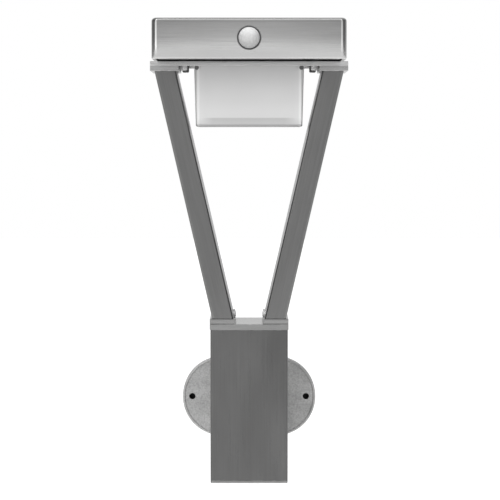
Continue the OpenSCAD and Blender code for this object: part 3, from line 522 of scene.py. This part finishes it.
# Post
# A square steel tube with small rounded corners, brushed up and down. Its foot is closed by a
# plate on a collar that slips inside it.
low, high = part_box("post_body")
post = rounded_block("post", low, high, Z, radius=0.0018)
bore_through(post, low, high, Z, wall=sheet, radius=0.0007)
along_z = (0, math.radians(90), 0)
# Painted shade: the post's steel is toned dark for how it looks in place.
post_steel = steel(
    "post_steel", 0.174, (low, high), along_z, roughness=0.32, streaks=0.06, clouds=0.24
)
finish(post, post_steel, "post_body", edge=0.0003)


def merge(piece, other):
    apply_modifier(piece, "BOOLEAN", object=other, operation="UNION", solver="EXACT")
    bpy.data.objects.remove(other)


def level_block(name, low, high, margin, bottom, top, radius, steps=4):
    start = Vector((low.x + margin, low.y + margin, bottom))
    end = Vector((high.x - margin, high.y - margin, top))
    return rounded_block(name, start, end, Z, radius, steps)


plate_height = 0.002
drain_radius = 0.003
low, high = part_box("post_foot_plate")
plate_top = low.z + plate_height
foot = level_block("foot_plate", low, high, 0, low.z, plate_top, radius=0.0022, steps=6)
merge(foot, level_block("collar", low, high, 0.0016, low.z + past, high.z, radius=0.0008))
cut(foot, level_block("hollow", low, high, 0.0046, plate_top, high.z + past, radius=0.002))
middle = (low + high) / 2
drain_start = Vector((middle.x, middle.y, low.z - past))
cut(foot, round_bar("drain", drain_radius, drain_start, Z, plate_height + 3 * past))
# Painted light: the foot plate's steel tone is set for how it looks in place.
finish(foot, steel("foot_steel", 0.33, (low, high)), "post_foot_plate", edge=0.0003)

# Post cap
# A solid steel lid with broken edges on the post's top, over a collar inside the post. Two pan
# screws at the back hold it, and four bolts come up through it into the arms' feet.
lid_height = 0.0045
low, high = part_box("post_cap")
lid_z = high.z - lid_height
cap = level_block("cap", low, high, 0, lid_z, high.z, radius=0.001)
merge(cap, level_block("skirt", low, high, 0.0021, low.z, lid_z + past, radius=0.0008))
cut(cap, level_block("hollow", low, high, 0.0051, low.z - past, lid_z, radius=0.002))
# Painted light: the cap's steel tone is set for how it looks in place.
finish(cap, steel("cap_steel", 0.37, (low, high)), "post_cap", edge=0.0005)

# Foot flanges
# Flat steel bars on the cap, one under each arm, with filed edges. Each has a slanted spigot that
# its arm slips over. Two bolts hold it from under the cap.
bar_height = 0.004


def flat_bar(node, low, high):
    name = node.replace("flange", "bar")
    return level_block(name, low, high, 0, low.z, low.z + bar_height, radius=0.0005, steps=3)


def finish_flange(bar, node, tone, box):
    finish(bar, steel(node + "_steel", tone, box, edge_band=0.0005), node, edge=0.0004)


def slant(piece, top, shift):
    choose(piece, "VERT", lambda point: point.co.z > top - 0.00002)
    bpy.ops.transform.translate(value=(shift, 0, 0))
    bpy.ops.object.mode_set(mode="OBJECT")


lean = math.radians(13.0)
arm_foot_x = 0.02085
spigot_half = 0.0067
spigot_margin = 0.010
for name, side in (("foot_flange_left", -1), ("foot_flange_right", 1)):
    low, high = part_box(name)
    bar = flat_bar(name, low, high)
    bar_top = low.z + bar_height
    middle_x = side * arm_foot_x
    spigot = block(
        "spigot",
        Vector((middle_x - spigot_half, low.y + spigot_margin, bar_top - past)),
        Vector((middle_x + spigot_half, high.y - spigot_margin, high.z)),
    )
    slant(spigot, high.z, side * math.tan(lean) * (high.z - bar_top))
    merge(bar, spigot)
    # Painted shade: the lower flanges are toned darker than the same bars at the top.
    finish_flange(bar, name, 0.4, (low, high))

# Arms
# Slanted rectangular steel tubes, sawn level at both ends and brushed along their length. Each
# stands on the spigot of its lower flange, and two small cheese-head screws pin it there.
arm_width = 0.0165
arm_half = arm_width / math.cos(lean) / 2
arm_reach = 0.0454
arm_gap = 0.0001
for name, side in (("arm_left", -1), ("arm_right", 1)):
    low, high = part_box(name)
    middle_x = side * arm_foot_x
    tube = block(
        name + "_tube",
        Vector((middle_x - arm_half, low.y, low.z + arm_gap)),
        Vector((middle_x + arm_half, high.y, high.z)),
    )
    round_edges(tube, lambda edge: runs_along(edge, Z), radius=0.0018, steps=6)
    slant(tube, high.z, side * arm_reach)
    choose(tube, "FACE", lambda face: abs(face.normal.z) > 0.9)
    bpy.ops.mesh.delete(type="FACE")
    bpy.ops.object.mode_set(mode="OBJECT")
    apply_modifier(tube, "SOLIDIFY", thickness=sheet, offset=-1, use_even_offset=True)
    along_arm = (0, math.radians(90) - side * lean, 0)
    # Painted shade: the arms' steel is toned dark for how they look in place.
    arm_steel = steel(
        name + "_steel", 0.236, (low, high), along_arm, roughness=0.34, streaks=0.08, clouds=0.14
    )
    finish(tube, arm_steel, name, edge=0.0004)

# Top flanges
# The same flat bars at the arms' tops. A step on each fits between the cross plate's lips, where
# two countersunk screws hold it.
step_margin = Vector((0.0004, 0.0017, 0))
for name in ("top_flange_left", "top_flange_right"):
    low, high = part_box(name)
    bar = flat_bar(name, low, high)
    step_low = low + step_margin
    step_low.z += bar_height - past
    merge(bar, block("step", step_low, high - step_margin))
    # Painted light: the top flanges are toned paler than the same bars below.
    finish_flange(bar, name, 0.56, (low, high))

# Cross plate
# A steel strip folded into a shallow channel, open below, with a window for the lamp board. The
# bends leave its two long edges round.
low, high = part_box("cross_plate")
middle = (low + high) / 2
channel = block("cross_channel", low, high)
round_edges(
    channel, lambda edge: runs_along(edge, X) and lies_at(edge, Z, high.z), radius=0.0004, steps=2
)
inner_low = low + Vector((-past, sheet, -past))
cut(channel, block("inner", inner_low, high + Vector((past, -sheet, -sheet))))
window_half = Vector((0.0405, 0.022, 0))
window_low = middle - window_half
window_low.z = low.z
window_high = middle + window_half
window_high.z = high.z + past
cut(channel, rounded_block("window", window_low, window_high, Z, radius=0.0015, steps=4))
nut_x = 0.0516
nut_y = 0.024
nut_hole = 0.0018
flange_screw_x = 0.06675
flange_screw_y = 0.015
flange_screw_hole = 0.0036
drill_length = 0.006
holes = ((nut_x, nut_y, nut_hole), (flange_screw_x, flange_screw_y, flange_screw_hole))
for across in (-1, 1):
    for deep in (-1, 1):
        for x, y, radius in holes:
            start = Vector((across * x, middle.y + deep * y, low.z))
            cut(channel, round_bar("hole", radius, start, Z, drill_length))
# Painted light: the cross plate's steel is toned pale for how it looks in place.
cross_steel = steel("cross_steel", 0.78, (low, high), edge_band=0.0004)
finish(channel, cross_steel, "cross_plate", edge=0.0002)


# Light box
# A box blow-moulded in opal plastic, open above, with walls that draw in a little downwards. Its
# colour carries painted light: paler stripes along the rounded side edges with a darker line at
# the very edge, a darker bottom edge, a paler band low down, and a darker band low across the
# middle.
# Four bosses inside take the screws of the corner clips, and a rubber seal lies on its rim.
def moulded_box(name, low, high, draft, corner, bottom):
    made = block(name, low, high)
    across = high - low
    choose(made, "VERT", lambda point: point.co.z < low.z + 0.00002)
    bpy.ops.transform.resize(value=(1 - 2 * draft / across.x, 1 - 2 * draft / across.y, 1))
    bpy.ops.object.mode_set(mode="OBJECT")
    round_edges(made, lambda edge: runs_along(edge, Z), corner, steps=6)
    round_rim(made, Z, low.z, bottom, steps=5)
    return made


low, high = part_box("diffuser")
middle = (low + high) / 2
box = moulded_box("light_box", low, high, draft=0.00135, corner=0.0014, bottom=0.0012)
box_wall = 0.003
hollow_low = low + Vector((box_wall, box_wall, box_wall))
hollow_high = high + Vector((-box_wall, -box_wall, past))
cut(box, moulded_box("hollow", hollow_low, hollow_high, draft=0.0013, corner=0.001, bottom=0.001))
boss_x = 0.0392
boss_y = 0.0195
boss_half = mm(2.2, 4.5, 4.9)
boss_z = high.z - 0.0051
for across in (-1, 1):
    for deep in (-1, 1):
        boss_middle = Vector((across * boss_x, middle.y + deep * boss_y, boss_z))
        merge(box, block("boss", boss_middle - boss_half, boss_middle + boss_half))

opal, tree = new_material("opal_plastic")
place = object_place(tree)
axes = split_axes(tree, place)
from_middle = maths(tree, "ABSOLUTE", axes["X"])
# Painted highlight: paler stripes along the side edges, with a darker line at the very edge.
painted_side_edge_light = tone_ramp(tree, spread(tree, from_middle, 0, 1, start=high.x, end=high.x - 0.01), (
    (0.0, 0.72), (0.2, 0.76), (0.26, 1.24), (0.38, 1.2), (0.46, 1.04), (0.9, 1.0),
))
above = spread(tree, axes["Z"], 0, 1, start=low.z, end=low.z + 0.02)
# Painted light and shade low down: a darker bottom edge, then a paler band above it.
painted_low_bands = tone_ramp(tree, above, (
    (0.0, 0.35), (0.04, 0.29), (0.07, 0.27), (0.1, 0.46), (0.36, 0.53), (0.6, 0.52), (1.0, 0.49),
))
# Painted shade: a darker band low down across the middle of the width.
painted_middle_shade_band = tone_ramp(tree, above, (
    (0.0, 0.35), (0.04, 0.29), (0.07, 0.27), (0.1, 0.42), (0.33, 0.39), (0.36, 0.52), (0.6, 0.52),
    (1.0, 0.49),
))
middle_share = spread(tree, from_middle, 0, 1, start=high.x - 0.006, end=high.x - 0.015)
tone = blend(tree, "MIX", middle_share, painted_low_bands, painted_middle_shade_band)
tone = blend(tree, "MULTIPLY", 1.0, tone, painted_side_edge_light)
cloudy = spread(tree, speck_noise(tree, place, 28.0, detail=1), 0.96, 1.0)
grain = speck_noise(tree, place, 1400.0, detail=3)
fill_shader(tree, {
    "Base Color": blend(tree, "MULTIPLY", 1.0, tone, cloudy),
    "Roughness": spread(tree, grain, 0.28, 0.38),
    "Normal": bumpy(tree, grain, 0.0001, 0.08),
})
finish(box, opal, "diffuser", edge=0.0003)


# Clips, seals and small screws
# Corner clips in the same opal plastic hang the light box from the cross plate. Seals are black
# rubber. The screws, nuts and washers are stainless steel, turned and tumbled smooth, and the four
# cap nuts that show under the cross plate have rounded tips. The light box's screws are painted
# dark for the shade in their notches, and the arms' screws are painted pale, a painted highlight.
def dress(names, material):
    for name in names:
        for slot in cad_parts[name].material_slots:
            slot.material = material


def turned_steel(name, level, roughness, depth=0.1, metallic=1, dust=0.1):
    colour = (level, level, level)
    return moulded_material(name, colour, roughness, 2200, depth, metallic, dust)


opal_clip = moulded_material("opal_clip", (0.78, 0.78, 0.78), 0.4, fineness=1400, depth=0.1)
dress(("diffuser_clips",), opal_clip)
dress((
    "diffuser_seal", "window_seal", "tray_seal", "pir_seal", "panel_seal", "battery_door_seal",
), rubber)
dress((
    "cap_screws", "foot_flange_screws", "top_flange_screws", "tray_screws", "head_bolts",
    "main_board_screws", "battery_door_screws", "led_board_screws", "standoff_bolts",
    "standoff_nuts",
), turned_steel("screw_steel", 0.6, 0.25))
dress(("standoff_washers", "head_washers", "shell_brackets"),
      turned_steel("washer_steel", 0.55, 0.3, depth=0.15))
# Painted shade: these screws are toned dark for the shade in their notches.
dress(("diffuser_screws",), turned_steel("painted_shade_screw", 0.16, 0.35, dust=0.05))
# Painted highlight: these screws are toned pale.
dress(("arm_screws",), turned_steel("painted_highlight_screw", 0.85, 0.3, metallic=0.4))


def repeat(piece, count, step):
    apply_modifier(
        piece, "ARRAY", count=count, use_relative_offset=False, use_constant_offset=True,
        constant_offset_displace=step,
    )


nut_radius = 0.0031
low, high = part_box("head_cap_nuts")
middle = (low + high) / 2
start = Vector((-nut_x, middle.y - nut_y, low.z))
nuts = round_bar("cap_nuts", nut_radius, start, Z, high.z - low.z, sides=6)
round_rim(nuts, Z, low.z, radius=0.0011, steps=4)
repeat(nuts, 2, (2 * nut_x, 0, 0))
repeat(nuts, 2, (0, 2 * nut_y, 0))
nut_steel = turned_steel("nut_steel", 0.52, 0.35, metallic=0.45)
finish(nuts, nut_steel, "head_cap_nuts", edge=0.0002)

# Base tray, battery door and mode button
# Black moulded plastic with a fine spark grain. The door has a sunk field and two screws, and the
# rubber button sits in a round hole beside it.
black = (0.02, 0.02, 0.021)
black_plastic = moulded_material("black_plastic", black, 0.46, fineness=3000, depth=0.4)
dress(("base_tray", "panel_backing", "pir_holder", "switch_body", "battery_holder"), black_plastic)
low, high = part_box("battery_door")
middle = (low + high) / 2
door_screw_x = 0.0443
door_screw_radius = 0.0029
door_top = low.z + 0.0017
door = level_block("bay_door", low, high, 0, low.z, door_top, radius=0.0028, steps=5)
choose(door, "FACE", lambda face: lies_at(face, Z, low.z))
bpy.ops.mesh.inset(thickness=0.0016)
bpy.ops.mesh.extrude_region_move(TRANSFORM_OT_translate={"value": (0, 0, 0.0004)})
bpy.ops.object.mode_set(mode="OBJECT")
for side in (-1, 1):
    start = Vector((side * door_screw_x, middle.y, low.z - past / 2))
    cut(door, round_bar("hole", door_screw_radius, start, Z, high.z - start.z))
finish(door, black_plastic, "battery_door", edge=0.0002)

low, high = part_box("mode_button")
middle = (low + high) / 2
button_radius = 0.005
rim_height = 0.0007
start = Vector((middle.x, middle.y, low.z))
length = high.z - low.z - 0.0003
button = round_bar("push_button", button_radius, start, Z, length, sides=48)
round_rim(button, Z, low.z, radius=0.0008, steps=4)
inset_face(button, Z, low.z, (0.0009, 0), (0.0006, -0.0003))
start.z = high.z - rim_height
merge(button, round_bar("rim", (high.x - low.x) / 2, start, Z, rim_height, sides=48))
finish(button, rubber, "mode_button", edge=0.0001, body="button")

# Head cover
# One deep-drawn steel cover, polished with fine sideways streaks. Its front and back bulge by
# under a millimetre, so the polish shades from dark above to light below. The rim is folded in
# below, and the top has a window for the solar panel.
low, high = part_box("head_shell")
middle = (low + high) / 2
half_height = (high.z - low.z) / 2
half_depth = (high.y - low.y) / 2
mouth_width = 0.144
window_width = 0.126
lens_hole_radius = 0.0093
bulge = 0.0008
cover = block("head_cover", low, high)
round_edges(cover, lambda edge: runs_along(edge, Z), radius=0.005, steps=10)
level_shares = (-1, -0.84, -0.66, -0.45, -0.22, 0, 0.22, 0.45, 0.62, 0.76, 1)
levels = [(share, middle.z + share * half_height) for share in level_shares]
bpy.ops.object.mode_set(mode="EDIT")
for share, level in levels[1:-1]:
    bpy.ops.mesh.select_all(action="SELECT")
    bpy.ops.mesh.bisect(plane_co=(0, middle.y, level), plane_no=(0, 0, 1))
for share, level in levels:
    choose(cover, "VERT", lambda point: abs(point.co.z - level) < 0.0001)
    bpy.ops.transform.resize(value=(1, 1 - bulge * share * share / half_depth, 1))
bpy.ops.object.mode_set(mode="OBJECT")
round_rim(cover, Z, high.z, radius=0.003, steps=8)
round_rim(cover, Z, low.z, radius=0.0006, steps=3)


def square_hole(name, width, bottom, top, radius):
    margin = half_depth - width / 2
    cut(cover, level_block(name, low, high, margin, bottom, top, radius))


wall = mm(1.3, 1.3, 1)
cavity = rounded_block("cavity", low + wall, high - wall, Z, radius=0.0037, steps=5)
round_rim(cavity, Z, high.z - wall.z, radius=0.0026, steps=5)
cut(cover, cavity)
square_hole("mouth", mouth_width, low.z - past, low.z + 2 * past, radius=0.002)
square_hole("window", window_width, high.z - 2 * past, high.z + past, radius=0.003)
lens_low, lens_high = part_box("pir_lens")
lens_z = (lens_low.z + lens_high.z) / 2
start = Vector((0, low.y - 2 * past, lens_z))
cut(cover, round_bar("lens_hole", lens_hole_radius, start, Y, 5 * past, sides=64))
# Painted light: the cover's steel is toned pale for how it looks in place.
head_steel = steel(
    "head_steel", 0.7, (low, high), along_x, roughness=0.14, streaks=0.03, clouds=0.14
)
finish(cover, head_steel, "head_shell", edge=0.0002, steps=1)

# Solar panel
# Tempered glass over six strips of dark blue cell on a black backing. Two printed silver bars run
# along each strip, with fine silver fingers across it.
low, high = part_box("solar_glass")
pane = rounded_block("pane", low + mm(0, 0, 0.1), high, Z, radius=0.003)
glass, tree = new_material("panel_glass")
smear = speck_noise(tree, object_place(tree), 35.0, detail=4)
fill_shader(tree, {
    "Base Color": blend(tree, "MIX", smear, (0.93, 0.96, 0.97), (0.98, 0.99, 1.0)),
    "Roughness": spread(tree, smear, 0.04, 0.12),
    "Transmission Weight": 1,
    "IOR": 1.5,
})
finish(pane, glass, "solar_glass", edge=0.0004)

fingers_per_metre = 480
cell, tree = new_material("solar_cell")
place = object_place(tree)
pitch = maths(tree, "MULTIPLY", split_axes(tree, place)["Y"], fingers_per_metre)
finger = maths(tree, "LESS_THAN", maths(tree, "FRACT", pitch), 0.1)
crystal = spread(tree, speck_noise(tree, place, 140.0, detail=3), 0, 1)
blue = blend(tree, "MIX", crystal, (0.006, 0.01, 0.035), (0.012, 0.022, 0.07))
fill_shader(tree, {
    "Base Color": blend(tree, "MIX", finger, blue, (0.4, 0.42, 0.45)),
    "Roughness": spread(tree, crystal, 0.16, 0.26, 0, 1),
})
dress(("solar_cells",), cell)

strips = 6
strip_gap = 0.0012
bar_half = 0.0005
bar_margin = 0.0006
low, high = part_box("solar_cells")
strip_pitch = (high.x - low.x + strip_gap) / strips
strip_width = strip_pitch - strip_gap
first_bar = low.x + 0.27 * strip_width
bars = block(
    "silver_bars",
    Vector((first_bar - bar_half, low.y + bar_margin, high.z - 0.0001)),
    Vector((first_bar + bar_half, high.y - bar_margin, high.z + 0.00005)),
)
repeat(bars, 2, (0.46 * strip_width, 0, 0))
repeat(bars, strips, (strip_pitch, 0, 0))
silver = moulded_material(
    "printed_silver", (0.6, 0.6, 0.6), 0.35, fineness=1800, depth=0.2, metallic=1
)
bars.data.materials.clear()
bars.data.materials.append(silver)
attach(bars, "lamp")
bpy.ops.object.select_all(action="DESELECT")

# Motion sensor lens
# A milky dome moulded with a honeycomb of small flat lenses. Its colour is painted darker towards
# the bottom, a painted shade. Its collar is clipped behind the cover, and a thin black ring seals
# it.
face_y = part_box("head_shell")[0].y
ball_radius = 0.0088
skirt_radius = 0.0083
collar_radius = 0.0105
collar_y = face_y + 0.001
collar_depth = 0.0012
bpy.ops.mesh.primitive_ico_sphere_add(
    subdivisions=3, radius=ball_radius, location=(0, lens_low.y + ball_radius, lens_z)
)
dome = settle("sensor_dome")
bpy.ops.object.mode_set(mode="EDIT")
bpy.ops.mesh.select_all(action="SELECT")
bpy.ops.mesh.bevel(offset=0.0008, segments=1, affect="VERTICES")
bpy.ops.mesh.select_all(action="SELECT")
bpy.ops.mesh.inset(thickness=0.00016, depth=-0.00006, use_individual=True)
bpy.ops.mesh.select_all(action="SELECT")
bpy.ops.mesh.bisect(
    plane_co=(0, face_y, lens_z), plane_no=(0, 1, 0), clear_outer=True, use_fill=True
)
bpy.ops.object.mode_set(mode="OBJECT")
start = Vector((0, face_y - 0.0001, lens_z))
merge(dome, round_bar("skirt", skirt_radius, start, Y, 0.0013, sides=48))
start.y = collar_y
merge(dome, round_bar("collar", collar_radius, start, Y, collar_depth, sides=48))

milky, tree = new_material("lens_plastic")
place = object_place(tree)
facets = tree.nodes.new("ShaderNodeTexVoronoi")
facets.inputs["Scale"].default_value = 420
tree.links.new(place, facets.inputs["Vector"])
facet_tone = spread(tree, facets.outputs["Color"], 0.86, 1.0, 0, 1)
lens_top = lens_z + 0.006
lens_bottom = lens_z - 0.008
# Painted shade: the lens is toned darker towards its bottom.
painted_lens_shade = spread(tree, split_axes(tree, place)["Z"], 0.83, 1.0, start=lens_bottom, end=lens_top)
milk = blend(tree, "MULTIPLY", 1.0, (0.45, 0.45, 0.45), facet_tone)
fill_shader(tree, {
    "Base Color": blend(tree, "MULTIPLY", 1.0, milk, painted_lens_shade),
    "Roughness": spread(tree, speck_noise(tree, place, 500.0), 0.22, 0.34),
})
finish(dome, milky, "pir_lens", angle=5)

# Boards and leads inside the head
# Lacquered boards with small parts, a rechargeable cell in its sleeve, and the inner leads. They
# are seen only when the head is opened.
green_board = moulded_material("green_board", (0.03, 0.2, 0.08), 0.4, fineness=700)
white_board = moulded_material("white_board", (0.8, 0.8, 0.8), 0.4, fineness=700)
cell_sleeve = moulded_material("cell_sleeve", (0.05, 0.15, 0.4), 0.35, fineness=900, depth=0.1)
plated_steel = moulded_material(
    "plated_steel", (0.6, 0.6, 0.6), 0.25, fineness=1800, depth=0.1, metallic=1
)
wire_sleeve = moulded_material("wire_sleeve", (0.3, 0.02, 0.02), 0.5, fineness=900, depth=0.1)
dress(("pir_board", "main_board"), green_board)
dress(("led_board", "switch_plunger"), white_board)
dress(("led_chips",), moulded_material("lamp_chip", (0.8, 0.65, 0.2), 0.4))
dress(("battery_cell",), cell_sleeve)
dress(("battery_contacts", "pir_sensor"), plated_steel)
dress(("board_parts",), black_plastic)
dress(("lead_wires",), wire_sleeve)
